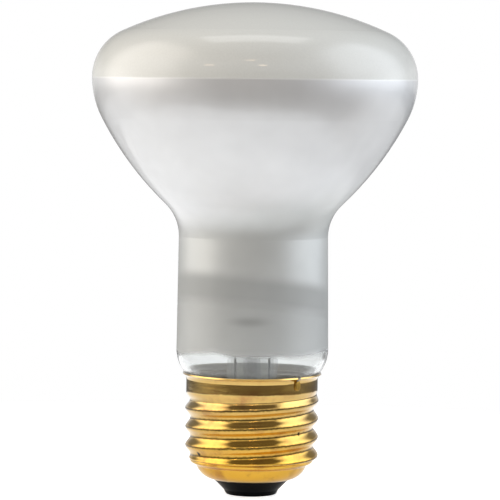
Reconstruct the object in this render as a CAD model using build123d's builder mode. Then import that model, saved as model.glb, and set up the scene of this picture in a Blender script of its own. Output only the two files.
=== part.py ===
from build123d import *
import math
import os

# Reflector light bulb with a medium screw base, in millimetres.
# It stands upright on its axis, +Z, with the lowest point of its centre contact at the origin.
# The front of the bulb faces -Y.

# Screw shell: brass sheet, drawn to a cup and rolled to a round thread
shell_sheet = 0.3
thread_diameter = 26.15  # over the crests
thread_depth = 0.97
thread_pitch = 25.4 / 7  # seven turns to the inch
thread_length = 14.07
thread_run_in = 0.7  # height over which the crest rises from the root at the foot
thread_run_out = 2.6  # height over which the groove runs out into the collar
thread_start_angle = 261.0  # where the crest lies at the foot of the thread, degrees from +X
collar_step = 0.3  # how far the collar stands out from the middle of the thread's wall
collar_height = 1.85
lip_height = 1.0
lip_flare = 0.7
cup_lead = 0.36  # plain wall under the thread
cup_step_width = 1.155
cup_step_height = 0.57
cup_wall_height = 2.26
cup_draft = 0.98
cup_floor_width = 2.49
cup_floor_height = 0.62
cup_lead_bend = 0.4
cup_step_bend = 0.5
cup_floor_bend = 4.0

# Insulator: black glass, moulded in the cup of the shell
insulator_cone_height = 2.07
insulator_cone_draft = 2.08
insulator_nose_height = 0.9
insulator_nose_draft = 0.45
insulator_round = 0.35

# Centre contact: brass eyelet, filled and tipped with solder
eyelet_sheet = 0.3
eyelet_margin = 1.15  # of the insulator's tip around the eyelet's flange
eyelet_tube_diameter = 3.4
eyelet_height = 2.6
solder_margin = 1.0  # of the eyelet's flange around the solder
solder_drop = 0.35  # below the insulator
solder_slope = 0.9  # from the solder's edge to its flat tip
solder_fill = 1.4  # above the eyelet's foot

# Glass envelope: one blown piece
bulb_diameter = 63.5
glass_wall = 0.7
crown_radius = 61.9
shoulder_radius = 10.0
rim_radius = 17.0
rim_turn = 27.3  # degrees from the rim's upright to the start of the reflecting cone
cone_radius = 63.0
neck_fillet = 8.7
neck_length = 22.12
neck_taper = 0.28  # the neck's foot is this much wider than its top, in radius
neck_overhang = 1.937  # how far the neck stands out over the lip of the shell
neck_foot_bend = 7.0
seal_bend = 1.2
seal_length = 5.8  # of the straight end of the neck in the shell
seal_gap = 0.75  # between the neck's end and the roots of the thread
seal_margin = 0.2  # below the rim of the stem
lip_gap = 0.08  # between the lip and the glass

# Cement between the collar and the glass
cement_inset = 0.15  # from the collar's top and foot

# Stem: flared tube, pinched shut over the lead wires
stem_diameter = 10.0
stem_wall = 0.8
stem_tube_length = 6.85
press_taper = 2.2
press_width = 10.8
press_thickness = 3.6
press_height = 2.5
exhaust_diameter = 3.4
exhaust_wall = 0.7
exhaust_drop = 3.0  # below the end of the neck
port_diameter = 1.5
port_rise = 1.1  # from the exhaust tube to the port through the press
rod_diameter = 2.4
rod_length = 13.0
button_diameter = 3.8

# Lead wires
lead_diameter = 0.45
lead_gap = 0.65  # between a lead and the bore of the stem
lead_bend = 0.8
lead_joint_bend = 0.4
lead_rise = 2.0  # upright above the press before the leads spread
lead_drop = 1.2  # below the exhaust tube before the leads part
lead_upright = 4.0  # below the filament
lead_hold = 0.6  # in the centre solder
side_drop = 1.0  # of the side lead below the end of the neck
side_inset = 0.7  # of the side lead from the collar's outside
side_lift = 1.2  # of the side lead's slope below the collar
hook_gap = 0.02
hook_tail = 0.9

# Filament and its support
filament_drop = 15.0  # below the widest ring of the bulb
filament_span = 16.0  # between the hooks of the leads
filament_wire = 0.26
filament_tail = 1.9
coil_diameter = 1.1
coil_pitch = 0.9
coil_ease = 0.5  # from the coil to each straight tail
support_wire = 0.24
support_gap = 0.1
support_hold = 1.0  # in the button
support_turn = 270.0

# Joint of the side lead with the collar
joint_angle = -47.5  # degrees from +X
joint_drop = 0.35  # below the top of the collar
joint_width = 1.3
joint_height = 1.9
joint_rise = 0.4  # out from the collar
joint_round = 0.25
notch_gap = 0.15  # beside and below the lead in the lip

# Level sections in each turn of the thread
sections_per_turn = 12


def hook_line(side):
    """The hook of a lead wire over a tail of the filament, on the side given as -1 or 1."""
    across = side * filament_half
    front = (across, -hook_radius, filament_level)
    back = (across, hook_radius, filament_level)
    ThreePointArc(front, (across, 0, filament_level + hook_radius), back)
    Line(back, (across, hook_radius, filament_level - hook_tail))


def eased(share):
    """A share from 0 to 1, with a smooth start and end; a share above 1 counts as 1."""
    reach = min(share, 1)
    return reach * reach * (3 - 2 * reach)


def wound_bar(inset):
    """A round bar whose level sections circle the axis once a turn, inset from the thread's outside.

    The bar starts at the thread's root and ends at the collar, and lies on the axis at both ends.
    """
    count = math.ceil(sections_per_turn * thread_length / thread_pitch)
    with BuildPart() as bar:
        for index in range(count + 1):
            height = thread_length * index / count
            run_in = eased(height / thread_run_in)
            run_out = eased((thread_length - height) / thread_run_out)
            radius = thread_root + thread_depth / 2 * run_in + collar_step * (1 - run_out) - inset
            swing = thread_depth / 2 * run_in * run_out
            angle = thread_start_angle + 360 * height / thread_pitch
            with BuildSketch(Plane.XY.offset(thread_foot + height)):
                with PolarLocations(swing, 1, start_angle=angle, rotate=False):
                    Circle(radius)
        loft()
    return bar.part


os.makedirs("parts", exist_ok=True)

# Levels of the base, from the contact up
insulator_foot = solder_drop
nose_top = insulator_foot + insulator_nose_height
cup_foot = nose_top + insulator_cone_height
cup_wall_foot = cup_foot + cup_floor_height
cup_wall_top = cup_wall_foot + cup_wall_height
cup_step_top = cup_wall_top + cup_step_height
thread_foot = cup_step_top + cup_lead
collar_foot = thread_foot + thread_length
collar_top = collar_foot + collar_height
lip_top = collar_top + lip_height

# Radii of the base
thread_root = thread_diameter / 2 - thread_depth
root_bore = thread_root - shell_sheet
collar_radius = thread_root + thread_depth / 2 + collar_step
collar_bore = collar_radius - shell_sheet
lip_radius = collar_radius + lip_flare
lip_bend = (lip_height**2 + lip_flare**2) / (2 * lip_flare)
lip_bore = collar_radius + lip_bend - math.sqrt((lip_bend + shell_sheet) ** 2 - lip_height**2)
cup_radius = thread_root - cup_step_width
cup_floor_radius = cup_radius - cup_draft
cup_mouth_radius = cup_floor_radius - cup_floor_width
nose_radius = cup_mouth_radius - insulator_cone_draft
tip_radius = nose_radius - insulator_nose_draft
flange_radius = tip_radius - eyelet_margin
eyelet_radius = eyelet_tube_diameter / 2
eyelet_bore = eyelet_radius - eyelet_sheet
solder_radius = flange_radius - solder_margin
contact_radius = solder_radius - solder_slope

# The cup's outer line, from the thread down to the mouth, with the bends at its three corners
cup_corners = [
    (thread_root, thread_foot),
    (thread_root, cup_step_top),
    (cup_radius, cup_wall_top),
    (cup_floor_radius, cup_wall_foot),
    (cup_mouth_radius, cup_foot),
]
cup_bends = [cup_lead_bend, cup_step_bend, cup_floor_bend]

# Neck and seal of the envelope, which follow the shell that they are cemented in
seal_radius = root_bore - seal_gap
seal_bore = seal_radius - glass_wall
neck_foot_radius = lip_bore - lip_gap + neck_overhang
neck_top_radius = neck_foot_radius - neck_taper
neck_foot = lip_top + math.sqrt(neck_overhang * (2 * neck_foot_bend - neck_overhang))
neck_top = neck_foot + neck_length
seal_turn = math.degrees(math.acos(1 - (neck_foot_radius - seal_radius) / (neck_foot_bend + seal_bend)))
seal_top = neck_foot - (neck_foot_bend + seal_bend) * math.sin(math.radians(seal_turn))
seal_foot = seal_top - seal_length

# Turns of the envelope's tangent arcs, and the level of its widest ring
bulb_radius = bulb_diameter / 2
rim_sine = math.sin(math.radians(rim_turn))
rim_cosine = math.cos(math.radians(rim_turn))
cone_reach = neck_fillet + cone_radius * rim_cosine + rim_radius * (1 - rim_cosine)
neck_turn_cosine = (cone_reach - bulb_radius + neck_top_radius) / (cone_radius + neck_fillet)
neck_turn = math.degrees(math.acos(neck_turn_cosine))
neck_turn_sine = math.sin(math.radians(neck_turn))
crown_turn = math.degrees(math.asin((bulb_radius - shoulder_radius) / (crown_radius - shoulder_radius)))
cone_rise = (cone_radius + neck_fillet) * neck_turn_sine + (rim_radius - cone_radius) * rim_sine
rim_level = neck_top + cone_rise

# Levels and radii of the stem
stem_radius = stem_diameter / 2
stem_bore = stem_radius - stem_wall
horn_radius = seal_bore - stem_radius
horn_top = seal_foot + seal_margin + stem_wall + horn_radius
stem_tube_top = horn_top + stem_tube_length
bore_top = stem_tube_top + press_taper / 2
press_foot = stem_tube_top + press_taper
press_top = press_foot + press_height
exhaust_radius = exhaust_diameter / 2
exhaust_bore = exhaust_radius - exhaust_wall
exhaust_foot = seal_foot - exhaust_drop
button_level = press_top + rod_length

# Levels and places of the wires
lead_radius = lead_diameter / 2
lead_offset = stem_bore - lead_radius - lead_gap
lead_low = exhaust_foot - lead_drop
lead_spread = press_top + lead_rise
filament_level = rim_level - filament_drop
filament_radius = filament_wire / 2
hook_radius = lead_radius + filament_radius + hook_gap
filament_half = filament_span / 2
coil_radius = (coil_diameter - filament_wire) / 2
filament_length = filament_span + 2 * lead_diameter
coil_length = filament_length - 2 * (filament_tail + coil_ease)
filament_plane = Plane((-filament_length / 2, 0, filament_level), x_dir=(0, 1, 0), z_dir=(1, 0, 0))
loop_radius = coil_diameter / 2 + support_gap + support_wire / 2
support_foot = button_level + button_diameter / 2 - support_hold

# The side lead passes under the foot of the neck, up through the cement and out of a notch in the lip
joint_level = collar_top - joint_drop
side_radius = collar_radius - side_inset - lead_radius
side_low_radius = (root_bore + seal_radius) / 2
side_low = seal_foot - side_drop
side_slope_foot = collar_foot - side_lift
joint_plane = Plane.XZ.rotated((0, 0, 90 + joint_angle))
notch_width = lead_diameter + 2 * notch_gap
notch_foot = joint_level - lead_radius - notch_gap
notch_top = lip_top + shell_sheet

# The thread's wall, between two wound bars that share their ends
outer_bar = wound_bar(0)
inner_bar = wound_bar(shell_sheet)
outer_ends = outer_bar.faces().filter_by(GeomType.PLANE).sort_by(Axis.Z)
inner_ends = inner_bar.faces().filter_by(GeomType.PLANE).sort_by(Axis.Z)
thread_faces = outer_bar.faces() - outer_ends + inner_bar.faces() - inner_ends
for outer_end, inner_end in zip(outer_ends, inner_ends):
    thread_faces.append(Face(outer_end.outer_wire(), [inner_end.outer_wire()]))
thread_wall = Solid(Shell(thread_faces))

# Screw shell
with BuildPart() as screw_shell:
    with BuildSketch(Plane.XZ):
        with BuildLine():
            FilletPolyline(cup_corners, radius=cup_bends)
            offset(amount=shell_sheet, side=Side.RIGHT)
        make_face()
        with BuildLine():
            collar_line = Line((collar_radius, collar_foot), (collar_radius, collar_top))
            TangentArc(collar_line @ 1, (lip_radius, lip_top), tangent=(0, 1))
            offset(amount=shell_sheet, side=Side.LEFT)
        make_face()
    revolve(axis=Axis.Z)
    add(thread_wall)
    with BuildSketch(joint_plane):
        with Locations((0, (notch_foot + notch_top) / 2)):
            Rectangle(notch_width, notch_top - notch_foot)
    extrude(amount=lip_radius + lip_flare, mode=Mode.SUBTRACT)
screw_shell.part.label = "screw_shell"
export_step(screw_shell.part, "parts/screw_shell.step")

# Base insulator
with BuildPart() as base_insulator:
    with BuildSketch(Plane.XZ):
        with BuildLine():
            FilletPolyline(cup_corners, radius=cup_bends)
            offset(amount=shell_sheet, side=Side.RIGHT, closed=False)
            cup_seat = vertices().sort_by(Axis.Y)[0]
            FilletPolyline(
                (cup_seat.X, cup_seat.Y),
                (cup_mouth_radius, cup_foot),
                (nose_radius, nose_top),
                (tip_radius, insulator_foot),
                (flange_radius, insulator_foot),
                (flange_radius, insulator_foot + eyelet_sheet),
                (eyelet_radius, insulator_foot + eyelet_sheet),
                (eyelet_radius, thread_foot),
                (root_bore, thread_foot),
                radius=(0, insulator_round, insulator_round, 0, 0, 0, 0),
            )
        make_face()
    revolve(axis=Axis.Z)
base_insulator.part.label = "base_insulator"
export_step(base_insulator.part, "parts/base_insulator.step")

# Centre eyelet
with BuildPart() as centre_eyelet:
    with BuildSketch(Plane.XZ):
        with BuildLine():
            Polyline(
                (eyelet_bore, insulator_foot),
                (flange_radius, insulator_foot),
                (flange_radius, insulator_foot + eyelet_sheet),
                (eyelet_radius, insulator_foot + eyelet_sheet),
                (eyelet_radius, insulator_foot + eyelet_height),
                (eyelet_bore, insulator_foot + eyelet_height),
                close=True,
            )
        make_face()
    revolve(axis=Axis.Z)
centre_eyelet.part.label = "centre_eyelet"
export_step(centre_eyelet.part, "parts/centre_eyelet.step")

# Lead wire from the filament to the centre contact
with BuildPart() as centre_lead:
    with BuildLine() as centre_path:
        FilletPolyline(
            (0, 0, insulator_foot + lead_hold),
            (0, 0, thread_foot),
            (-lead_offset, 0, lead_low),
            (-lead_offset, 0, lead_spread),
            (-filament_half, -hook_radius, filament_level - lead_upright),
            (-filament_half, -hook_radius, filament_level),
            radius=lead_bend,
        )
        hook_line(-1)
    with BuildSketch(Plane.XY.offset(insulator_foot + lead_hold)):
        Circle(lead_radius)
    sweep(path=centre_path.line)
centre_lead.part.label = "centre_lead"
export_step(centre_lead.part, "parts/centre_lead.step")

# Lead wire from the filament to the collar
with BuildPart() as side_lead:
    with BuildLine() as side_path:
        FilletPolyline(
            joint_plane.from_local_coords((0, joint_level, collar_radius + joint_rise / 2)),
            joint_plane.from_local_coords((0, joint_level, side_radius)),
            joint_plane.from_local_coords((0, collar_foot, side_radius)),
            joint_plane.from_local_coords((0, side_slope_foot, side_low_radius)),
            joint_plane.from_local_coords((0, side_low, side_low_radius)),
            (lead_offset, 0, lead_low),
            (lead_offset, 0, lead_spread),
            (filament_half, -hook_radius, filament_level - lead_upright),
            (filament_half, -hook_radius, filament_level),
            radius=[lead_joint_bend] * 4 + [lead_bend] * 3,
        )
        hook_line(1)
    with BuildSketch(joint_plane.offset(collar_radius + joint_rise / 2)):
        with Locations((0, joint_level)):
            Circle(lead_radius)
    sweep(path=side_path.line)
side_lead.part.label = "side_lead"
export_step(side_lead.part, "parts/side_lead.step")

# Centre solder
with BuildPart() as centre_solder:
    with BuildSketch(Plane.XZ):
        with BuildLine():
            bead = TangentArc((contact_radius, 0), (solder_radius, insulator_foot), tangent=(1, 0))
            Polyline(
                bead @ 1,
                (eyelet_bore, insulator_foot),
                (eyelet_bore, insulator_foot + solder_fill),
                (0, insulator_foot + solder_fill),
                (0, 0),
                bead @ 0,
            )
        make_face()
    revolve(axis=Axis.Z)
    add(centre_lead.part, mode=Mode.SUBTRACT)
centre_solder.part.label = "centre_solder"
export_step(centre_solder.part, "parts/centre_solder.step")

# Solder of the side lead on the collar
with BuildPart() as collar_solder:
    with BuildSketch(joint_plane.offset(collar_radius - shell_sheet / 2)):
        with Locations((0, joint_level)):
            SlotOverall(joint_height, joint_width, rotation=90)
    extrude(amount=joint_rise + shell_sheet / 2)
    fillet(faces().sort_by(Axis((0, 0, 0), joint_plane.z_dir))[-1].edges(), joint_round)
    add(screw_shell.part, mode=Mode.SUBTRACT)
    add(side_lead.part, mode=Mode.SUBTRACT)
collar_solder.part.label = "collar_solder"
export_step(collar_solder.part, "parts/collar_solder.step")

# Glass envelope
with BuildPart() as glass_envelope:
    with BuildSketch(Plane.XZ):
        with BuildLine():
            seal_line = Line((seal_radius, seal_foot), (seal_radius, seal_top))
            seal_arc = JernArc(seal_line @ 1, seal_line % 1, seal_bend, -seal_turn)
            foot_arc = JernArc(seal_arc @ 1, seal_arc % 1, neck_foot_bend, seal_turn)
            neck_line = Line(foot_arc @ 1, (neck_top_radius, neck_top))
            neck_arc = JernArc(neck_line @ 1, (0, 1), neck_fillet, -neck_turn)
            cone_arc = JernArc(neck_arc @ 1, neck_arc % 1, cone_radius, neck_turn - rim_turn)
            rim_arc = JernArc(cone_arc @ 1, cone_arc % 1, rim_radius, rim_turn)
            shoulder = JernArc(rim_arc @ 1, rim_arc % 1, shoulder_radius, 90 - crown_turn)
            JernArc(shoulder @ 1, shoulder % 1, crown_radius, crown_turn)
            offset(amount=glass_wall, side=Side.LEFT)
        make_face()
    revolve(axis=Axis.Z)
glass_envelope.part.label = "glass_envelope"
export_step(glass_envelope.part, "parts/glass_envelope.step")

# Basing cement
with BuildPart() as basing_cement:
    with BuildSketch(Plane.XY.offset(collar_foot + cement_inset)):
        Circle(collar_bore)
        Circle(seal_radius - glass_wall / 2, mode=Mode.SUBTRACT)
    extrude(amount=collar_height - 2 * cement_inset)
    add(glass_envelope.part, mode=Mode.SUBTRACT)
    add(side_lead.part, mode=Mode.SUBTRACT)
basing_cement.part.label = "basing_cement"
export_step(basing_cement.part, "parts/basing_cement.step")

# Glass stem
with BuildPart() as glass_stem:
    with BuildSketch(Plane.XZ):
        with BuildLine():
            tube_line = Line((stem_radius, stem_tube_top), (stem_radius, horn_top))
            JernArc(tube_line @ 1, tube_line % 1, horn_radius, 90)
            offset(amount=stem_wall, side=Side.RIGHT)
        make_face()
    revolve(axis=Axis.Z)
    with BuildSketch(Plane.XY.offset(stem_tube_top)):
        Circle(stem_radius)
    with BuildSketch(Plane.XY.offset(press_foot)):
        Ellipse(press_width / 2, press_thickness / 2)
    loft()
    with BuildSketch(Plane.XY.offset(press_foot)):
        Ellipse(press_width / 2, press_thickness / 2)
    extrude(amount=press_height)
    with BuildSketch(Plane.XY.offset(stem_tube_top)):
        Circle(stem_bore)
    with BuildSketch(Plane.XY.offset(bore_top)):
        Circle(exhaust_radius)
    loft(mode=Mode.SUBTRACT)
    with BuildSketch(Plane.XY.offset(bore_top)):
        Circle(exhaust_bore)
    extrude(amount=port_rise, mode=Mode.SUBTRACT)
    with BuildSketch(Plane.XZ):
        with Locations((0, bore_top + port_rise)):
            Circle(port_diameter / 2)
    extrude(amount=stem_radius, both=True, mode=Mode.SUBTRACT)
    add(centre_lead.part, mode=Mode.SUBTRACT)
    add(side_lead.part, mode=Mode.SUBTRACT)
glass_stem.part.label = "glass_stem"
export_step(glass_stem.part, "parts/glass_stem.step")

# Exhaust tube
with BuildPart() as exhaust_tube:
    with BuildSketch(Plane.XZ):
        with BuildLine():
            tip_arc = JernArc((0, exhaust_foot), (1, 0), exhaust_radius, 90)
            Line(tip_arc @ 1, (exhaust_radius, bore_top))
            offset(amount=exhaust_wall, side=Side.LEFT)
        make_face()
    revolve(axis=Axis.Z)
exhaust_tube.part.label = "exhaust_tube"
export_step(exhaust_tube.part, "parts/exhaust_tube.step")

# Support wire, with its loop around the filament
with BuildPart() as support:
    with BuildLine(Plane.YZ) as support_path:
        upright = Line((loop_radius, support_foot), (loop_radius, filament_level))
        JernArc(upright @ 1, upright % 1, loop_radius, support_turn)
    with BuildSketch(Plane.XY.offset(support_foot)):
        with Locations((0, loop_radius)):
            Circle(support_wire / 2)
    sweep(path=support_path.line)
support.part.label = "support_wire"
export_step(support.part, "parts/support_wire.step")

# Support rod
with BuildPart() as support_rod:
    with BuildSketch(Plane.XY.offset(press_top)):
        Circle(rod_diameter / 2)
    extrude(amount=rod_length)
    with Locations((0, 0, button_level)):
        Sphere(button_diameter / 2)
    add(support.part, mode=Mode.SUBTRACT)
support_rod.part.label = "support_rod"
export_step(support_rod.part, "parts/support_rod.step")

# Filament
with BuildPart() as filament:
    with BuildLine(filament_plane) as filament_path:
        first_tail = Line((0, 0, 0), (0, 0, filament_tail))
        coil = Helix(
            coil_pitch,
            coil_length,
            coil_radius,
            center=(0, 0, filament_tail + coil_ease),
            direction=filament_plane.z_dir,
        )
        Spline(first_tail @ 1, coil @ 0, tangents=(first_tail % 1, coil % 0))
        last_tail = Line((0, 0, filament_length - filament_tail), (0, 0, filament_length))
        Spline(coil @ 1, last_tail @ 0, tangents=(coil % 1, last_tail % 0))
    with BuildSketch(filament_plane):
        Circle(filament_radius)
    sweep(path=filament_path.line)
filament.part.label = "filament"
export_step(filament.part, "parts/filament.step")
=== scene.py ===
import logging
import math
from dataclasses import dataclass
from enum import Enum

import bpy
from mathutils import Matrix, Vector

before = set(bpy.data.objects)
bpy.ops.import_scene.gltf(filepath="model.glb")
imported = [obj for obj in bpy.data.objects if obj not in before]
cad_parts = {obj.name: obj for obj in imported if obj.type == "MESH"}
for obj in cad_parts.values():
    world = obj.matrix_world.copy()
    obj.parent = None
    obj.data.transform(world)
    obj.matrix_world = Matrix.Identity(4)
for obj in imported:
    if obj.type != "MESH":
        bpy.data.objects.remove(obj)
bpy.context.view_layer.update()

LOG = logging.getLogger("reflector_bulb")
MM = 0.001
WHITE = "#ffffff"
# Nearly all of a noise lies between these two values.
NOISE_SPAN = (0.3, 0.7)

Tree = bpy.types.NodeTree
Node = bpy.types.Node
Socket = bpy.types.NodeSocket
Pair = tuple[float, float]
Triple = tuple[float, float, float]


def linear(colour: str) -> tuple[float, float, float, float]:
    """Turns a hex colour, as seen on a screen, into the linear light that shaders use.

    Args:
        colour: Six hex digits after a hash sign.

    Returns:
        Red, green, blue and a full alpha.
    """
    parts = [int(colour[i:i + 2], 16) / 255 for i in (1, 3, 5)]
    # The screen's curve is straight near black and a power above that.
    bright = [p / 12.92 if p <= 0.04045 else ((p + 0.055) / 1.055) ** 2.4 for p in parts]
    return bright[0], bright[1], bright[2], 1.0


def add_node(tree: Tree, kind: str, settings: dict | None = None) -> Node:
    """Adds a node, sets its options and constants, and links its inputs.

    Args:
        tree: Node tree that takes the node.
        kind: Blender's name of the node type, without its prefix.
        settings: Option name, or input name or number, to its value. A value that is an
            output socket is linked to the input.

    Returns:
        The new node.
    """
    node = tree.nodes.new(f"ShaderNode{kind}")
    for key, value in (settings or {}).items():
        if isinstance(value, Socket):
            tree.links.new(value, node.inputs[key])
        elif isinstance(key, str) and key in node.bl_rna.properties:
            setattr(node, key, value)
        else:
            node.inputs[key].default_value = value
    return node


@dataclass(frozen=True)
class Finish:
    """A surface: a real material and how it was made."""

    name: str

    def constants(self) -> dict[str, object]:
        """Gives the shader's values that are the same all over the surface."""
        return {}

    def feeds(self, tree: Tree, place: Socket) -> dict[str, Socket]:
        """Makes the surface's patterns. Each finish has its own.

        Args:
            tree: The material's node tree.
            place: Where the surface is, in the part's frame.

        Returns:
            The shader's inputs, by name, and what feeds them.
        """
        raise NotImplementedError

    def build(self) -> bpy.types.Material:
        """Makes the material.

        Returns:
            The material, with its nodes wired.
        """
        material = bpy.data.materials.new(self.name)
        material.use_nodes = True
        tree = material.node_tree
        tree.nodes.clear()
        place = add_node(tree, "TexCoord").outputs["Object"]
        shader = add_node(tree, "BsdfPrincipled", self.constants() | self.feeds(tree, place))
        add_node(tree, "OutputMaterial", {"Surface": shader.outputs["BSDF"]})
        return material

    def dress(self, *nodes: str) -> None:
        """Gives CAD nodes this finish.

        Args:
            nodes: Names of the nodes.
        """
        material = self.build()
        for node in nodes:
            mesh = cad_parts[node].data
            mesh.materials.clear()
            mesh.materials.append(material)
            LOG.info("%s is %s", node, self.name)


@dataclass(frozen=True)
class CoatedGlass(Finish):
    """Blown glass, frosted inside its dome and silvered inside its cone and neck.

    The outside is glossy. The coats lie under the glass, so they look soft below a sharp gloss.
    A dim stripe runs round the neck, whose film is greyer than the cone's: partly a greyer
    film, partly painted shade. Below the stripe the film is thin, and a faint patch of painted
    shade marks where the stem shows through. The film ends in a wavy edge above clear glass.
    """

    ior: float = 1.5
    gloss_roughness: float = 0.015
    rim: float = 81.75 * MM
    rim_edge: float = 0.01 * MM
    line_width: float = 0.25 * MM
    film_foot: float = 28.9 * MM
    film_wave: float = 2.6 * MM
    film_wave_size: float = 9.0 * MM
    film_edge: float = 1.0 * MM
    film_uneven: Pair = (0.96, 1.04)
    film_roughness: float = 0.48
    film_metal: float = 0.6
    thin_top: float = 37.0 * MM
    thin_soft: float = 1.2 * MM
    thin_film: float = 0.66
    thin_power: float = 3.0
    stripe_tilt: Triple = (0.096, 0.116, 1.0)
    stripe_middle: float = 39.6 * MM
    stripe_half: float = 2.6 * MM
    stripe_soft: float = 1.4 * MM
    stripe_dark: float = 0.62
    stripe_gloss: float = 0.4
    # Above this tilted border the film turns from the neck's grey, partly painted shade, to white.
    neck_tilt: Triple = (-0.2, 0.116, 1.0)
    neck_top: float = 54.8 * MM
    neck_soft: float = 3.4 * MM
    neck_gloss: float = 0.5
    # A faint patch of painted shade, where the stem shows dimly through the thin film.
    painted_shade_place: Triple = (-0.7 * MM, -13.8 * MM, 35.4 * MM)
    painted_shade_reach: Triple = (5.5 * MM, 6.0 * MM, 1.4 * MM)
    painted_shade_dark: float = 0.7
    # Etched frost is much finer than this. It is drawn as coarse as it needs to show.
    frost_grain: float = 0.35 * MM
    frost_uneven: Pair = (0.96, 1.04)
    frost_roughness: float = 0.55
    frost_pass: float = 0.6
    clear_roughness: float = 0.01
    film_colour: str = "#e6e8ea"
    # The neck's grey is partly a greyer film and partly painted shade where it mirrors the dim
    # room.
    neck_film_and_shade_colour: str = "#c9cccb"
    frost_colour: str = "#e2e4e0"
    clear_colour: str = "#f7f9f9"
    line_colour: str = "#f4f6f6"

    def constants(self) -> dict[str, object]:
        """Gives the glass and its gloss their typical values."""
        return {"IOR": self.ior, "Coat IOR": self.ior, "Coat Roughness": self.gloss_roughness}

    def feeds(self, tree: Tree, place: Socket) -> dict[str, Socket]:
        """Splits the glass by height into clear foot, silver film and frosted dome.

        Args:
            tree: The material's node tree.
            place: Where the surface is, in the part's frame.

        Returns:
            The shader's inputs, by name, and what feeds them.
        """
        zones = self.zones(tree, place)
        return {"Base Color": self.colour(tree, place, zones)} | self.weights(tree, zones)

    def zones(self, tree: Tree, place: Socket) -> dict[str, Socket]:
        """Marks the zones of the coats.

        Args:
            tree: The material's node tree.
            place: Where the surface is, in the part's frame.

        Returns:
            Each zone's name, and a value that goes from 0 to 1 across its border.
        """
        height = add_node(tree, "SeparateXYZ", {0: place}).outputs["Z"]
        waves = add_node(
            tree,
            "TexNoise",
            {"Scale": 1 / self.film_wave_size, "Detail": 2.0, "Vector": place},
        ).outputs[0]
        wavy = add_node(
            tree,
            "Math",
            {"operation": "MULTIPLY_ADD", 0: waves, 1: self.film_wave, 2: height},
        ).outputs[0]
        up_stripe, up_neck = (
            add_node(
                tree, "VectorMath", {"operation": "DOT_PRODUCT", 0: place, 1: tilt}
            ).outputs["Value"]
            for tilt in (self.stripe_tilt, self.neck_tilt)
        )
        beside = []
        for value, middle in ((up_stripe, self.stripe_middle), (height, self.rim)):
            offset = add_node(tree, "Math", {"operation": "SUBTRACT", 0: value, 1: middle})
            distance = add_node(tree, "Math", {"operation": "ABSOLUTE", 0: offset.outputs[0]})
            beside.append(distance.outputs[0])
        beside_stripe, beside_rim = beside
        # Distance from the middle of the patch of painted shade, in shares of its reach.
        from_painted_shade = add_node(
            tree, "VectorMath", {"operation": "SUBTRACT", 0: place, 1: self.painted_shade_place}
        ).outputs[0]
        painted_shade_share = add_node(
            tree, "VectorMath", {"operation": "DIVIDE", 0: from_painted_shade, 1: self.painted_shade_reach}
        ).outputs[0]
        beside_painted_shade = add_node(
            tree, "VectorMath", {"operation": "LENGTH", 0: painted_shade_share}
        ).outputs["Value"]

        zones = {"waves": waves}
        foot = self.film_foot + self.film_wave / 2
        for name, value, middle, soft, least in (
            ("film", wavy, foot, self.film_edge, 0.0),
            ("thick", up_stripe, self.thin_top, self.thin_soft, self.thin_film),
            ("beside_stripe", beside_stripe, self.stripe_half, self.stripe_soft, 0.0),
            ("cone", up_neck, self.neck_top, self.neck_soft, 0.0),
            ("beside_painted_shade", beside_painted_shade, 0.5, 0.5, self.painted_shade_dark),
        ):
            zones[name] = add_node(
                tree,
                "MapRange",
                {
                    "interpolation_type": "SMOOTHSTEP",
                    "From Min": middle - soft,
                    "From Max": middle + soft,
                    "To Min": least,
                    "Value": value,
                },
            ).outputs[0]
        zones["dome"] = add_node(
            tree,
            "MapRange",
            {
                "From Min": self.rim - self.rim_edge,
                "From Max": self.rim + self.rim_edge,
                "Value": height,
            },
        ).outputs[0]
        zones["line"] = add_node(
            tree,
            "MapRange",
            {"From Max": self.line_width, "To Min": 1.0, "To Max": 0.0, "Value": beside_rim},
        ).outputs[0]
        return zones

    def colour(self, tree: Tree, place: Socket, zones: dict[str, Socket]) -> Socket:
        """Colours clear glass, the film with its painted shade, the frost and the pale line at the
        rim.

        Args:
            tree: The material's node tree.
            place: Where the surface is, in the part's frame.
            zones: The zones of the coats.

        Returns:
            The colour.
        """
        uneven = add_node(
            tree,
            "MapRange",
            {
                "From Min": NOISE_SPAN[0],
                "From Max": NOISE_SPAN[1],
                "To Min": self.film_uneven[0],
                "To Max": self.film_uneven[1],
                "Value": zones["waves"],
            },
        ).outputs[0]
        stripe = add_node(
            tree, "MapRange", {"To Min": self.stripe_dark, "Value": zones["beside_stripe"]}
        ).outputs[0]
        # The film's tone wanders, dims in the stripe, and darkens in the patch of painted shade.
        shade = uneven
        for part in (stripe, zones["beside_painted_shade"]):
            shade = add_node(
                tree, "Math", {"operation": "MULTIPLY", 0: part, 1: shade}
            ).outputs[0]
        grain = add_node(
            tree, "TexNoise", {"Scale": 1 / self.frost_grain, "Detail": 1.0, "Vector": place}
        ).outputs[0]
        grains = add_node(
            tree,
            "MapRange",
            {"To Min": self.frost_uneven[0], "To Max": self.frost_uneven[1], "Value": grain},
        ).outputs[0]
        # The neck's film is greyer than the cone's, partly by painted shade.
        film = add_node(
            tree,
            "Mix",
            {
                "data_type": "RGBA",
                0: zones["cone"],
                6: linear(self.neck_film_and_shade_colour),
                7: linear(self.film_colour),
            },
        ).outputs[2]
        silver, frost = (
            add_node(
                tree,
                "Mix",
                {"data_type": "RGBA", "blend_type": "MULTIPLY", 0: 1.0, 6: coat, 7: shades},
            ).outputs[2]
            for coat, shades in ((film, shade), (linear(self.frost_colour), grains))
        )
        colour = linear(self.clear_colour)
        for zone, coat in (("film", silver), ("dome", frost), ("line", linear(self.line_colour))):
            colour = add_node(
                tree, "Mix", {"data_type": "RGBA", 0: zones[zone], 6: colour, 7: coat}
            ).outputs[2]
        return colour

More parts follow.
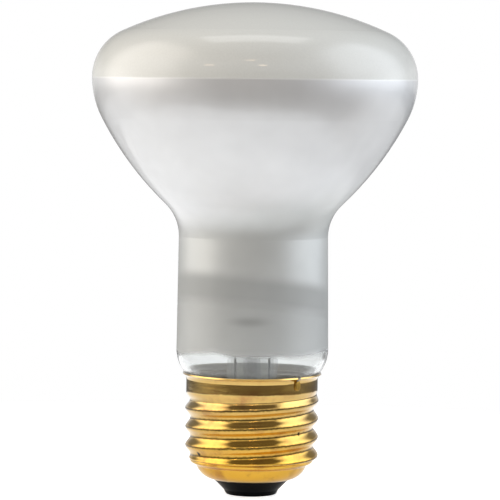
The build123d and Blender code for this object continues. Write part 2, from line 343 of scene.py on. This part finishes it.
    def weights(self, tree: Tree, zones: dict[str, Socket]) -> dict[str, Socket]:
        """Works out how much each zone mirrors, shines and lets through.

        A shadow ray passes the clear glass and part of the frost, so that the lamps light the
        inside of the base.

        Args:
            tree: The material's node tree.
            zones: The zones of the coats.

        Returns:
            The shader's inputs, by name, and what feeds them.
        """
        values = zones | {"shadow": add_node(tree, "LightPath").outputs["Is Shadow Ray"]}
        for name, zone, low, high in (
            ("neck_gloss", "cone", self.neck_gloss, 1.0),
            ("stripe_gloss", "beside_stripe", self.stripe_gloss, 1.0),
            ("low_roughness", "film", self.clear_roughness, self.film_roughness),
        ):
            values[name] = add_node(
                tree, "MapRange", {"To Min": low, "To Max": high, "Value": zones[zone]}
            ).outputs[0]
        for name, operation, first, second in (
            ("covered", "MULTIPLY", "film", "thick"),
            ("bare", "SUBTRACT", 1.0, "covered"),
            ("below", "SUBTRACT", 1.0, "dome"),
            ("clear", "MULTIPLY", "bare", "below"),
            ("mirror", "POWER", "covered", self.thin_power),
            ("unbroken", "MULTIPLY", "mirror", "beside_stripe"),
            ("silvered", "MULTIPLY", "unbroken", self.film_metal),
            ("metallic", "MULTIPLY", "silvered", "below"),
            ("gloss_share", "MULTIPLY", "neck_gloss", "stripe_gloss"),
            ("gloss", "MULTIPLY", "covered", "gloss_share"),
            ("frosted", "MULTIPLY", "dome", self.frost_pass),
            ("open", "ADD", "frosted", "clear"),
            ("passed", "MULTIPLY", "open", "shadow"),
            ("stopped", "SUBTRACT", 1.0, "passed"),
        ):
            values[name] = add_node(
                tree,
                "Math",
                {
                    "operation": operation,
                    0: values.get(first, first),
                    1: values.get(second, second),
                },
            ).outputs[0]
        roughness = add_node(
            tree,
            "Mix",
            {0: values["dome"], 2: values["low_roughness"], 3: self.frost_roughness},
        ).outputs[0]
        return {
            "Metallic": values["metallic"],
            "Roughness": roughness,
            "Transmission Weight": values["clear"],
            "Coat Weight": values["gloss"],
            "Alpha": values["stopped"],
        }


@dataclass(frozen=True)
class RolledBrass(Finish):
    """Brass sheet, drawn and rolled bright, then handled: gold with a thin brown tarnish.

    Dark jagged lines run along the thread: painted shade in its roots and a painted dark
    reflection on its crests. Use leaves a few dark marks. A clear lacquer makes the gloss paler
    towards the collar. The inside is dull with dried cement.
    """

    bright: str = "#d2ac54"
    deep: str = "#ddac33"
    tarnish: str = "#b07a2c"
    deep_top: float = 5.0 * MM
    bright_foot: float = 21.0 * MM
    patch_size: float = 5.0 * MM
    stain_span: Pair = (0.5, 0.8)
    roughness: Pair = (0.07, 0.17)
    # Roller streaks are finer than this, and are drawn as coarse as they need to show. They run
    # level, about eight times as long as they are high.
    streak_size: float = 0.5 * MM
    streak_stretch: Triple = (0.12, 0.12, 1.0)
    ripple: float = 0.015 * MM
    ripple_strength: float = 0.5
    dent_size: float = 5.0 * MM
    dents: float = 4.0
    inside: str = "#f2ece3"
    inside_roughness: float = 0.7
    lacquer: Pair = (0.25, 0.85)
    lacquer_ior: float = 1.8
    lacquer_roughness: float = 0.1
    # Dark brown of the marks of use, and of the painted shade and painted reflection on the
    # thread.
    grime_and_painted_shade: str = "#2c1d08"
    # The lines of painted shade and painted reflection follow the thread between these heights.
    thread_start: float = 4.5 * MM
    thread_pitch: float = 25.4 / 7 * MM
    thread_ends: Pair = (7.0 * MM, 19.6 * MM)
    thread_fade: float = 0.8 * MM
    # Widths across the thread are shares of its pitch.
    line_width: float = 0.09
    line_jitter: float = 0.09
    line_gap: float = 0.25
    line_dark: float = 0.97
    jitter_size: float = 0.6 * MM
    # Each mark's place and its radius.
    marks: tuple[tuple[float, float, float, float], ...] = (
        (9.1 * MM, -8.0 * MM, 13.2 * MM, 0.5 * MM),
        (-10.2 * MM, -6.8 * MM, 8.9 * MM, 0.7 * MM),
    )

    def constants(self) -> dict[str, object]:
        """Gives the lacquer its values."""
        return {"Coat IOR": self.lacquer_ior, "Coat Roughness": self.lacquer_roughness}

    def feeds(self, tree: Tree, place: Socket) -> dict[str, Socket]:
        """Makes tarnish patches, lines of painted shade on the thread, dark marks, streaks and
        faint dents.

        Args:
            tree: The material's node tree.
            place: Where the surface is, in the part's frame.

        Returns:
            The shader's inputs, by name, and what feeds them.
        """
        split = add_node(tree, "SeparateXYZ", {0: place})
        up = add_node(
            tree,
            "MapRange",
            {
                "From Min": self.deep_top,
                "From Max": self.bright_foot,
                "Value": split.outputs["Z"],
            },
        ).outputs[0]
        outside = self.outside(tree, place)
        dirt_and_painted_shade = self.dirt_and_painted_shade(tree, place, split)
        lacquer = add_node(
            tree,
            "MapRange",
            {"To Min": self.lacquer[0], "To Max": self.lacquer[1], "Value": up},
        ).outputs[0]
        level = add_node(
            tree, "Mapping", {"Scale": self.streak_stretch, "Vector": place}
        ).outputs[0]
        streaks = add_node(
            tree, "TexNoise", {"Scale": 1 / self.streak_size, "Detail": 3.0, "Vector": level}
        ).outputs[0]
        polish = add_node(
            tree,
            "MapRange",
            {
                "From Min": NOISE_SPAN[0],
                "From Max": NOISE_SPAN[1],
                "To Min": self.roughness[0],
                "To Max": self.roughness[1],
                "Value": streaks,
            },
        ).outputs[0]
        dents = add_node(
            tree, "TexNoise", {"Scale": 1 / self.dent_size, "Detail": 1.0, "Vector": place}
        ).outputs[0]
        relief = add_node(
            tree, "Math", {"operation": "MULTIPLY_ADD", 0: dents, 1: self.dents, 2: streaks}
        ).outputs[0]
        bump = add_node(
            tree,
            "Bump",
            {"Strength": self.ripple_strength, "Distance": self.ripple, "Height": relief},
        ).outputs[0]
        roughness = add_node(
            tree, "Mix", {0: outside, 2: self.inside_roughness, 3: polish}
        ).outputs[0]
        # The marks and the painted lines lose the lacquer's gloss, so they stay dark.
        gloss = add_node(tree, "Mix", {0: dirt_and_painted_shade, 2: lacquer, 3: 0.0}).outputs[0]
        return {
            "Base Color": self.colour(tree, place, up, dirt_and_painted_shade, outside),
            "Metallic": outside,
            "Roughness": roughness,
            "Coat Weight": gloss,
            "Normal": bump,
        }

    def outside(self, tree: Tree, place: Socket) -> Socket:
        """Tells the outside of the sheet from its inside.

        Args:
            tree: The material's node tree.
            place: Where the surface is, in the part's frame.

        Returns:
            1 where the surface faces away from the axis, and 0 elsewhere.
        """
        away = add_node(
            tree, "VectorMath", {"operation": "MULTIPLY", 0: place, 1: (1.0, 1.0, 0.0)}
        ).outputs[0]
        facing = add_node(tree, "NewGeometry").outputs["Normal"]
        outward = add_node(
            tree, "VectorMath", {"operation": "DOT_PRODUCT", 0: away, 1: facing}
        ).outputs["Value"]
        return add_node(
            tree, "Math", {"operation": "GREATER_THAN", 0: outward, 1: 0.0}
        ).outputs[0]

    def colour(
        self, tree: Tree, place: Socket, up: Socket, dirt_and_painted_shade: Socket, outside: Socket
    ) -> Socket:
        """Colours the brass, its tarnish, its marks and painted shade, and the cement on its
        inside.

        Args:
            tree: The material's node tree.
            place: Where the surface is, in the part's frame.
            up: How high it is, from 0 at the bottom to 1 at the collar.
            dirt_and_painted_shade: How dark the marks and the painted shade of the thread are,
                from 0 to 1.
            outside: 1 on the outside of the sheet.

        Returns:
            The colour.
        """
        patches = add_node(
            tree,
            "TexNoise",
            {"Scale": 1 / self.patch_size, "Detail": 5.0, "Roughness": 0.6, "Vector": place},
        ).outputs[0]
        stain = add_node(
            tree,
            "MapRange",
            {
                "interpolation_type": "SMOOTHSTEP",
                "From Min": self.stain_span[0],
                "From Max": self.stain_span[1],
                "Value": patches,
            },
        ).outputs[0]
        brass = linear(self.deep)
        for share, coat in ((up, self.bright), (stain, self.tarnish), (dirt_and_painted_shade, self.grime_and_painted_shade)):
            brass = add_node(
                tree, "Mix", {"data_type": "RGBA", 0: share, 6: brass, 7: linear(coat)}
            ).outputs[2]
        return add_node(
            tree, "Mix", {"data_type": "RGBA", 0: outside, 6: linear(self.inside), 7: brass}
        ).outputs[2]

    def dirt_and_painted_shade(self, tree: Tree, place: Socket, split: Node) -> Socket:
        """Adds the dark marks of use to the painted lines of the thread.

        Args:
            tree: The material's node tree.
            place: Where the surface is, in the part's frame.
            split: The same place as three numbers.

        Returns:
            How dark the marks and the painted lines are, from 0 to 1.
        """
        dirt_and_painted_shade = self.painted_thread_lines(tree, place, split)
        for x, y, z, radius in self.marks:
            beside = add_node(
                tree, "VectorMath", {"operation": "DISTANCE", 0: place, 1: (x, y, z)}
            ).outputs["Value"]
            mark = add_node(
                tree,
                "MapRange",
                {
                    "From Min": radius / 2,
                    "From Max": radius,
                    "To Min": 1.0,
                    "To Max": 0.0,
                    "Value": beside,
                },
            ).outputs[0]
            dirt_and_painted_shade = add_node(tree, "Math", {"operation": "MAXIMUM", 0: dirt_and_painted_shade, 1: mark}).outputs[0]
        return dirt_and_painted_shade

    def painted_thread_lines(self, tree: Tree, place: Socket, split: Node) -> Socket:
        """Paints dark jagged lines: shade in the roots, a dark reflection on the crests.

        Args:
            tree: The material's node tree.
            place: Where the surface is, in the part's frame.
            split: The same place as three numbers.

        Returns:
            How dark the lines are, from 0 to 1.
        """
        x, y, height = split.outputs
        angle = add_node(tree, "Math", {"operation": "ARCTAN2", 0: y, 1: x}).outputs[0]
        rise = -self.thread_pitch / math.tau
        climb = add_node(
            tree, "Math", {"operation": "MULTIPLY_ADD", 0: angle, 1: rise, 2: height}
        ).outputs[0]
        turns = add_node(
            tree,
            "MapRange",
            {
                "clamp": False,
                "From Min": self.thread_start,
                "From Max": self.thread_start + self.thread_pitch,
                "Value": climb,
            },
        ).outputs[0]
        jitter = add_node(
            tree, "TexNoise", {"Scale": 1 / self.jitter_size, "Detail": 2.0, "Vector": place}
        ).outputs[0]
        shift = add_node(tree, "Math", {"operation": "SUBTRACT", 0: jitter, 1: 0.5}).outputs[0]
        wavering = add_node(
            tree, "Math", {"operation": "MULTIPLY_ADD", 0: shift, 1: self.line_jitter, 2: turns}
        ).outputs[0]
        # Crests and roots follow each other every half turn, so the distance to the nearest
        # one swings between nothing and a quarter.
        beside = add_node(
            tree, "Math", {"operation": "PINGPONG", 0: wavering, 1: self.line_gap}
        ).outputs[0]
        line = add_node(
            tree,
            "MapRange",
            {
                "From Max": self.line_width,
                "To Min": self.line_dark,
                "To Max": 0.0,
                "Value": beside,
            },
        ).outputs[0]
        low, high = self.thread_ends
        for end, inside in ((low, low + self.thread_fade), (high, high - self.thread_fade)):
            share = add_node(
                tree, "MapRange", {"From Min": end, "From Max": inside, "Value": height}
            ).outputs[0]
            line = add_node(
                tree, "Math", {"operation": "MULTIPLY", 0: line, 1: share}
            ).outputs[0]
        return line


@dataclass(frozen=True)
class Mottled(Finish):
    """A surface whose colour and gloss change together, from its ground to its patches."""

    ground: str
    patch: str
    patch_size: float
    roughness: Pair

    def feeds(self, tree: Tree, place: Socket) -> dict[str, Socket]:
        """Feeds the patches to the colour and the gloss.

        Args:
            tree: The material's node tree.
            place: Where the surface is, in the part's frame.

        Returns:
            The shader's inputs, by name, and what feeds them.
        """
        patches = add_node(
            tree, "TexNoise", {"Scale": 1 / self.patch_size, "Detail": 4.0, "Vector": place}
        ).outputs[0]
        colour = add_node(
            tree,
            "Mix",
            {"data_type": "RGBA", 0: patches, 6: linear(self.ground), 7: linear(self.patch)},
        ).outputs[2]
        roughness = add_node(
            tree,
            "MapRange",
            {"To Min": self.roughness[0], "To Max": self.roughness[1], "Value": patches},
        ).outputs[0]
        return {"Base Color": colour, "Roughness": roughness}


@dataclass(frozen=True)
class Metal(Mottled):
    """A plain metal with an uneven skin, such as drawn wire or a drop of solder."""

    def constants(self) -> dict[str, object]:
        """Makes the whole surface metal."""
        return {"Metallic": 1.0}


@dataclass(frozen=True)
class BlackGlass(Mottled):
    """Opaque black glass, pressed hot into the shell: deep black with slow flow marks."""

    ior: float = 1.5
    # Dust in its pores leaves little of the gloss that plain glass has.
    gloss: float = 0.03

    def constants(self) -> dict[str, object]:
        """Gives the glass its typical index and a weak gloss."""
        return {"IOR": self.ior, "Specular IOR Level": self.gloss}


@dataclass(frozen=True)
class ClearGlass(Finish):
    """Drawn glass tube, worked in a flame: clear, with a faint grey tint and slow ripples."""

    tint: str = "#dfe3e2"
    ior: float = 1.52
    roughness: float = 0.05
    ripple_size: float = 2.5 * MM
    ripple: float = 0.03 * MM
    ripple_strength: float = 0.4
    body: Pair = (0.12, 0.24)

    def constants(self) -> dict[str, object]:
        """Gives the glass its tint, index and polish."""
        return {"Base Color": linear(self.tint), "IOR": self.ior, "Roughness": self.roughness}

    def feeds(self, tree: Tree, place: Socket) -> dict[str, Socket]:
        """Feeds the ripples of the flame to the surface and to the body of the thin wall.

        Args:
            tree: The material's node tree.
            place: Where the surface is, in the part's frame.

        Returns:
            The shader's inputs, by name, and what feeds them.
        """
        ripples = add_node(
            tree, "TexNoise", {"Scale": 1 / self.ripple_size, "Detail": 1.0, "Vector": place}
        ).outputs[0]
        bump = add_node(
            tree,
            "Bump",
            {"Strength": self.ripple_strength, "Distance": self.ripple, "Height": ripples},
        ).outputs[0]
        body = add_node(
            tree, "MapRange", {"To Min": self.body[0], "To Max": self.body[1], "Value": ripples}
        ).outputs[0]
        return {"Normal": bump, "Alpha": body}


@dataclass(frozen=True)
class BakedCement(Finish):
    """Cement of resin and stone flour, baked in the shell: matt and pale tan, with fine grains."""

    dark: str = "#d3c8ba"
    pale: str = "#f2ebe1"
    roughness: float = 0.85
    # Stone flour is finer than this. It is drawn as coarse as it needs to show.
    grain: float = 0.4 * MM
    relief: float = 0.1 * MM
    relief_strength: float = 0.6

    def constants(self) -> dict[str, object]:
        """Makes the cement matt."""
        return {"Roughness": self.roughness}

    def feeds(self, tree: Tree, place: Socket) -> dict[str, Socket]:
        """Feeds the grains to the colour and the surface.

        Args:
            tree: The material's node tree.
            place: Where the surface is, in the part's frame.

        Returns:
            The shader's inputs, by name, and what feeds them.
        """
        grains = add_node(
            tree, "TexNoise", {"Scale": 1 / self.grain, "Detail": 3.0, "Vector": place}
        ).outputs[0]
        colour = add_node(
            tree,
            "Mix",
            {"data_type": "RGBA", 0: grains, 6: linear(self.dark), 7: linear(self.pale)},
        ).outputs[2]
        bump = add_node(
            tree,
            "Bump",
            {"Strength": self.relief_strength, "Distance": self.relief, "Height": grains},
        ).outputs[0]
        return {"Base Color": colour, "Normal": bump}


@dataclass(frozen=True)
class PaleTable(Finish):
    """White acrylic table top, lit a little from below: even and matt, fading at its border."""

    middle: Vector
    reach: Vector
    border: float
    pale: str = "#f2f4f5"
    dark: str = "#eceef0"
    roughness: float = 0.7
    patch_size: float = 120.0 * MM
    camera_lift: float = 0.42
    glow: float = 0.34

    def constants(self) -> dict[str, object]:
        """Makes the table matt, with a white glow."""
        return {"Roughness": self.roughness, "Emission Color": linear(WHITE)}

    def feeds(self, tree: Tree, place: Socket) -> dict[str, Socket]:
        """Feeds faint broad patches, the glow and the soft border.

        Args:
            tree: The material's node tree.
            place: Where the surface is, on the table.

        Returns:
            The shader's inputs, by name, and what feeds them.
        """
        patches = add_node(
            tree, "TexNoise", {"Scale": 1 / self.patch_size, "Vector": place}
        ).outputs[0]
        colour = add_node(
            tree,
            "Mix",
            {"data_type": "RGBA", 0: patches, 6: linear(self.pale), 7: linear(self.dark)},
        ).outputs[2]
        seen = add_node(tree, "LightPath").outputs["Is Camera Ray"]
        glow = add_node(
            tree,
            "Math",
            {"operation": "MULTIPLY_ADD", 0: seen, 1: self.camera_lift, 2: self.glow},
        ).outputs[0]
        from_middle = add_node(
            tree, "VectorMath", {"operation": "SUBTRACT", 0: place, 1: self.middle}
        ).outputs[0]
        share = add_node(
            tree, "VectorMath", {"operation": "DIVIDE", 0: from_middle, 1: self.reach}
        ).outputs[0]
        # The length of the squares gives a rectangle with round corners.
        square = add_node(
            tree, "VectorMath", {"operation": "MULTIPLY", 0: share, 1: share}
        ).outputs[0]
        out = add_node(tree, "VectorMath", {"operation": "LENGTH", 0: square}).outputs["Value"]
        solid = add_node(
            tree,
            "MapRange",
            {
                "interpolation_type": "SMOOTHSTEP",
                "From Min": (1 - self.border) ** 2,
                "From Max": (1 + self.border) ** 2,
                "To Min": 1.0,
                "To Max": 0.0,
                "Value": out,
            },
        ).outputs[0]
        return {"Base Color": colour, "Emission Strength": glow, "Alpha": solid}


@dataclass
class Envelope:
    """The blown glass of the bulb, and the glass stem sealed in its foot."""

    glass: Finish = CoatedGlass("blown_glass_frosted_and_silvered_inside")
    stem: Finish = ClearGlass("drawn_glass_flame_worked")

    def dress(self) -> None:
        """Gives the glass its coats, and the stem its clear glass."""
        self.glass.dress("glass_envelope")
        self.stem.dress("glass_stem", "exhaust_tube", "support_rod")


@dataclass
class Base:
    """The screw base: shell, insulator, contact, joints and cement."""

    shell: Finish = RolledBrass("rolled_brass_lightly_tarnished")
    insulator: Finish = BlackGlass(
        "pressed_black_glass", "#030304", "#0a0b0c", 3.0 * MM, (0.12, 0.3)
    )
    # Soft solder sets with a satin skin: pale grey, a little patchy.
    solder: Finish = Metal(
        "soft_solder_set_from_a_drop", "#a9adb0", "#7f8386", 0.8 * MM, (0.25, 0.5)
    )
    # Flux dries brown on the braze: brass that is blotched and only half bright.
    braze: Finish = Metal(
        "brazing_brass_dulled_by_flux", "#c9a350", "#6b4f1e", 0.5 * MM, (0.25, 0.45)
    )
    cement: Finish = BakedCement("baked_basing_cement")

    def dress(self) -> None:
        """Gives each piece of the base its finish."""
        self.shell.dress("screw_shell", "centre_eyelet")
        self.insulator.dress("base_insulator")
        self.solder.dress("centre_solder")
        self.braze.dress("collar_solder")
        self.cement.dress("basing_cement")


@dataclass
class Wires:
    """The lead wires, the filament and the wire that carries it."""

    # The seal's heat oxidises the leads: dark brown-grey, with a dull sheen.
    lead: Finish = Metal(
        "drawn_lead_wire_oxidised", "#48433e", "#2a2725", 1.5 * MM, (0.3, 0.5)
    )
    # Drawn tungsten keeps a film of graphite: dark grey and satin.
    tungsten: Finish = Metal(
        "drawn_tungsten_wire", "#56575a", "#37383b", 0.8 * MM, (0.35, 0.5)
    )

    def dress(self) -> None:
        """Gives each wire its metal."""
        self.lead.dress("centre_lead", "side_lead")
        self.tungsten.dress("support_wire", "filament")


class Side(Enum):
    """The two sides of the studio."""

    LEFT = -1
    RIGHT = 1


@dataclass(frozen=True)
class SoftLamp:
    """A rectangular lamp behind cloth, which fades towards its edges.

    Its size is in metres, its radiance is a share of white, and each edge is the share of its
    size that it fades over.
    """

    name: str
    place: Vector
    aim: Vector
    size: Pair
    radiance: float
    colour: str
    edge: float
    low_edge: float

    def hang(self) -> None:
        """Hangs the lamp at its place and turns it to its aim."""
        lamp = bpy.data.lights.new(self.name, "AREA")
        lamp.shape = "RECTANGLE"
        lamp.size, lamp.size_y = self.size
        lamp.energy = self.radiance * math.pi * self.size[0] * self.size[1]
        lamp.color = linear(self.colour)[:3]
        self.soften(lamp)
        holder = bpy.data.objects.new(self.name, lamp)
        holder.location = self.place
        holder.rotation_mode = "QUATERNION"
        holder.rotation_quaternion = self.aim.to_track_quat("-Z", "Y")
        bpy.context.collection.objects.link(holder)
        LOG.info("%s hung", self.name)

    def soften(self, lamp: bpy.types.Light) -> None:
        """Lets the lamp fade towards its edges, as the cloth of a soft box does.

        Args:
            lamp: The lamp.
        """
        lamp.use_nodes = True
        tree = lamp.node_tree
        tree.nodes.clear()
        cloth = add_node(tree, "NewGeometry").outputs["Parametric"]
        across, up, _ = add_node(tree, "SeparateXYZ", {0: cloth}).outputs
        fade: Socket | float = 1.0
        for value, start, full in (
            (across, 0.0, self.edge),
            (across, 1.0, 1 - self.edge),
            (up, 0.0, self.low_edge),
            (up, 1.0, 1 - self.edge),
        ):
            ramp = add_node(
                tree,
                "MapRange",
                {
                    "interpolation_type": "SMOOTHSTEP",
                    "From Min": start,
                    "From Max": full,
                    "Value": value,
                },
            ).outputs[0]
            fade = add_node(tree, "Math", {"operation": "MULTIPLY", 0: fade, 1: ramp}).outputs[0]
        glow = add_node(tree, "Emission", {"Strength": fade})
        add_node(tree, "OutputLight", {"Surface": glow.outputs[0]})


@dataclass(frozen=True)
class Room:
    """The room around the table, as the light from each direction.

    The camera sees white, and so does a ray that goes straight back through the glass. All else
    sees a dim room: a wall in front, a lower wall behind, and a strip of bright floor behind and
    beside the table. Each light is a share of white. Each border is a pair of values, along one
    axis of a unit ray, between which the light changes.
    """

    front_wall: float = 0.85
    front_low: float = 0.17
    back_wall: float = 0.65
    back_high: float = 0.4
    floor: float = 0.85
    floor_back: float = 0.6
    warmth: str = "#ffefdc"
    front_foot: Pair = (0.02, 0.3)
    front_top: Pair = (0.5, 0.8)
    back_start: Pair = (-0.42, 0.35)
    back_foot: Pair = (-0.09, -0.02)
    back_fade: Pair = (0.03, 0.25)
    floor_top: Pair = (-0.24, -0.14)
    floor_side: Pair = (0.5, 0.8)
    straight_back: Pair = (0.8, 0.97)

    def fill(self) -> None:
        """Makes the world that lights the scene from each direction."""
        world = bpy.data.worlds.new("room")
        bpy.context.scene.world = world
        world.use_nodes = True
        tree = world.node_tree
        tree.nodes.clear()
        ray = add_node(tree, "TexCoord").outputs["Generated"]
        across, along, up = add_node(tree, "SeparateXYZ", {0: ray}).outputs
        aside = add_node(tree, "Math", {"operation": "ABSOLUTE", 0: across}).outputs[0]
        path = add_node(tree, "LightPath").outputs
        values = {"camera": path["Is Camera Ray"], "passing": path["Is Transmission Ray"]}
        for name, value, border, low, high in (
            ("above_foot", up, self.front_foot, 0.0, 1.0),
            ("below_top", up, self.front_top, 1.0, 0.0),
            ("behind", along, self.back_start, 0.0, 1.0),
            ("back_foot", up, self.back_foot, self.front_low, self.back_wall),
            ("back_fade", up, self.back_fade, 1.0, self.back_high),
            ("floor", up, self.floor_top, self.floor, 0.0),
            ("beside", aside, self.floor_side, self.floor_back, 1.0),
            ("straight", along, self.straight_back, 0.0, 1.0),
        ):
            values[name] = add_node(
                tree,
                "MapRange",
                {
                    "interpolation_type": "SMOOTHSTEP",
                    "From Min": border[0],
                    "From Max": border[1],
                    "To Min": low,
                    "To Max": high,
                    "Value": value,
                },
            ).outputs[0]
        for name, operation, first, second in (
            ("wall", "MULTIPLY", "above_foot", "below_top"),
            ("back_wall", "MULTIPLY", "back_foot", "back_fade"),
            ("side_floor", "MULTIPLY", "floor", "beside"),
            ("back", "MAXIMUM", "back_wall", "side_floor"),
            ("through", "MULTIPLY", "passing", "straight"),
            ("seen", "MAXIMUM", "camera", "through"),
            ("lit", "MAXIMUM", "wall", "behind"),
            ("plain", "MAXIMUM", "lit", "seen"),
        ):
            values[name] = add_node(
                tree, "Math", {"operation": operation, 0: values[first], 1: values[second]}
            ).outputs[0]
        front = add_node(
            tree,
            "MapRange",
            {"To Min": self.front_low, "To Max": self.front_wall, "Value": values["wall"]},
        ).outputs[0]
        dim = add_node(tree, "Mix", {0: values["behind"], 2: front, 3: values["back"]}).outputs[0]
        strength = add_node(tree, "Mix", {0: values["seen"], 2: dim, 3: 1.0}).outputs[0]
        colour = add_node(
            tree,
            "Mix",
            {
                "data_type": "RGBA",
                0: values["plain"],
                6: linear(self.warmth),
                7: linear(WHITE),
            },
        ).outputs[2]
        light = add_node(tree, "Background", {"Color": colour, "Strength": strength})
        add_node(tree, "OutputWorld", {"Surface": light.outputs[0]})
        LOG.info("room filled")


@dataclass
class Studio:
    """Table, lamps, room and camera. Places and sizes are in metres."""

    table_left: float = 0.15
    table_right: float = 0.083
    table_front: float = 0.115
    table_back: float = 0.14
    table_border: float = 0.1
    # Each side lamp's colour and the height of its lower edge.
    sides: tuple[tuple[Side, str, float], ...] = (
        (Side.LEFT, "#fff8f0", -0.1),
        (Side.RIGHT, "#f0f6ff", -0.085),
    )
    side_distance: float = 0.8
    side_size: Pair = (1.6, 1.6)
    side_radiance: float = 2.05
    side_edge: float = 0.36
    side_low_edge: float = 0.13
    top_place: Triple = (0.0, 0.08, 1.1)
    top_size: Pair = (0.8, 0.42)
    top_radiance: float = 1.65
    top_edge: float = 0.12
    # The directions of the small lamps from the middle of the dome.
    spots: tuple[Triple, ...] = (
        (-0.05, -0.78, 0.62),
        (0.09, -0.88, 0.46),
        (-0.5, -0.74, 0.44),
    )
    spot_centre: Triple = (0.0, 0.0, 0.085)
    spot_distance: float = 1.5
    spot_size: Pair = (0.2, 0.08)
    spot_edge: float = 0.2
    spot_radiance: float = 7.0
    spot_colour: str = "#ffdcb8"
    room: Room = Room()
    camera_place: Triple = (-0.00065, -0.54, 0.0817)
    aim_height: float = 0.0483
    # The roll is in degrees, the lens and the sensor in millimetres.
    roll: float = 0.57
    lens: float = 199.0
    sensor: float = 36.0
    nearest: float = 0.01

    def build(self) -> None:
        """Makes the table, lights the object and aims the camera."""
        self.lay_table()
        self.hang_side_lamps()
        self.hang_top_lamp()
        self.hang_spots()
        self.room.fill()
        self.aim_camera()

    def lay_table(self) -> None:
        """Lays a pale table under the object, lit in a pool around it."""
        middle = Vector(
            ((self.table_right - self.table_left) / 2, (self.table_back - self.table_front) / 2, 0)
        )
        reach = Vector(
            ((self.table_right + self.table_left) / 2, (self.table_back + self.table_front) / 2, 1)
        )
        half = (1 + self.table_border) * reach
        corners = [
            (middle.x + x * half.x, middle.y + y * half.y, 0.0)
            for x, y in ((-1, -1), (1, -1), (1, 1), (-1, 1))
        ]
        finish = PaleTable("white_acrylic_matt", middle, reach, self.table_border)
        mesh = bpy.data.meshes.new("table")
        mesh.from_pydata(corners, [], [(0, 1, 2, 3)])
        mesh.materials.append(finish.build())
        table = bpy.data.objects.new("table", mesh)
        bpy.context.collection.objects.link(table)
        LOG.info("table laid")

    def hang_side_lamps(self) -> None:
        """Hangs the large soft lamps at the left and the right."""
        for side, colour, foot in self.sides:
            SoftLamp(
                name=f"lamp_{side.name.lower()}",
                place=Vector((side.value * self.side_distance, 0, foot + self.side_size[1] / 2)),
                aim=Vector((-side.value, 0, 0)),
                size=self.side_size,
                radiance=self.side_radiance,
                colour=colour,
                edge=self.side_edge,
                low_edge=self.side_low_edge,
            ).hang()

    def hang_top_lamp(self) -> None:
        """Hangs the lamp above the object."""
        SoftLamp(
            name="lamp_top",
            place=Vector(self.top_place),
            aim=Vector((0, 0, -1)),
            size=self.top_size,
            radiance=self.top_radiance,
            colour=WHITE,
            edge=self.top_edge,
            low_edge=self.top_edge,
        ).hang()

    def hang_spots(self) -> None:
        """Hangs the small warm lamps of the room, which glint in the dome and in the thread."""
        for number, spot in enumerate(self.spots):
            way = Vector(spot).normalized()
            SoftLamp(
                name=f"spot_{number}",
                place=Vector(self.spot_centre) + self.spot_distance * way,
                aim=-way,
                size=self.spot_size,
                radiance=self.spot_radiance,
                colour=self.spot_colour,
                edge=self.spot_edge,
                low_edge=self.spot_edge,
            ).hang()

    def aim_camera(self) -> None:
        """Sets the camera where the photograph was taken from."""
        lens = bpy.data.cameras.new("camera")
        lens.lens = self.lens
        lens.sensor_width = self.sensor
        lens.clip_start = self.nearest
        camera = bpy.data.objects.new("camera", lens)
        place = Vector(self.camera_place)
        down = math.atan2(place.z - self.aim_height, -place.y)
        tilt = Matrix.Rotation(math.pi / 2 - down, 4, "X")
        roll = Matrix.Rotation(math.radians(self.roll), 4, "Z")
        camera.matrix_world = Matrix.Translation(place) @ tilt @ roll
        bpy.context.collection.objects.link(camera)
        bpy.context.scene.camera = camera
        bpy.context.scene.view_settings.view_transform = "Standard"
        LOG.info("camera aimed")


def main() -> None:
    """Dresses the bulb from the glass to the wires, then sets it in its studio."""
    logging.basicConfig(level=logging.INFO)
    Envelope().dress()
    Base().dress()
    Wires().dress()
    Studio().build()


if __name__ == "__main__":
    main()
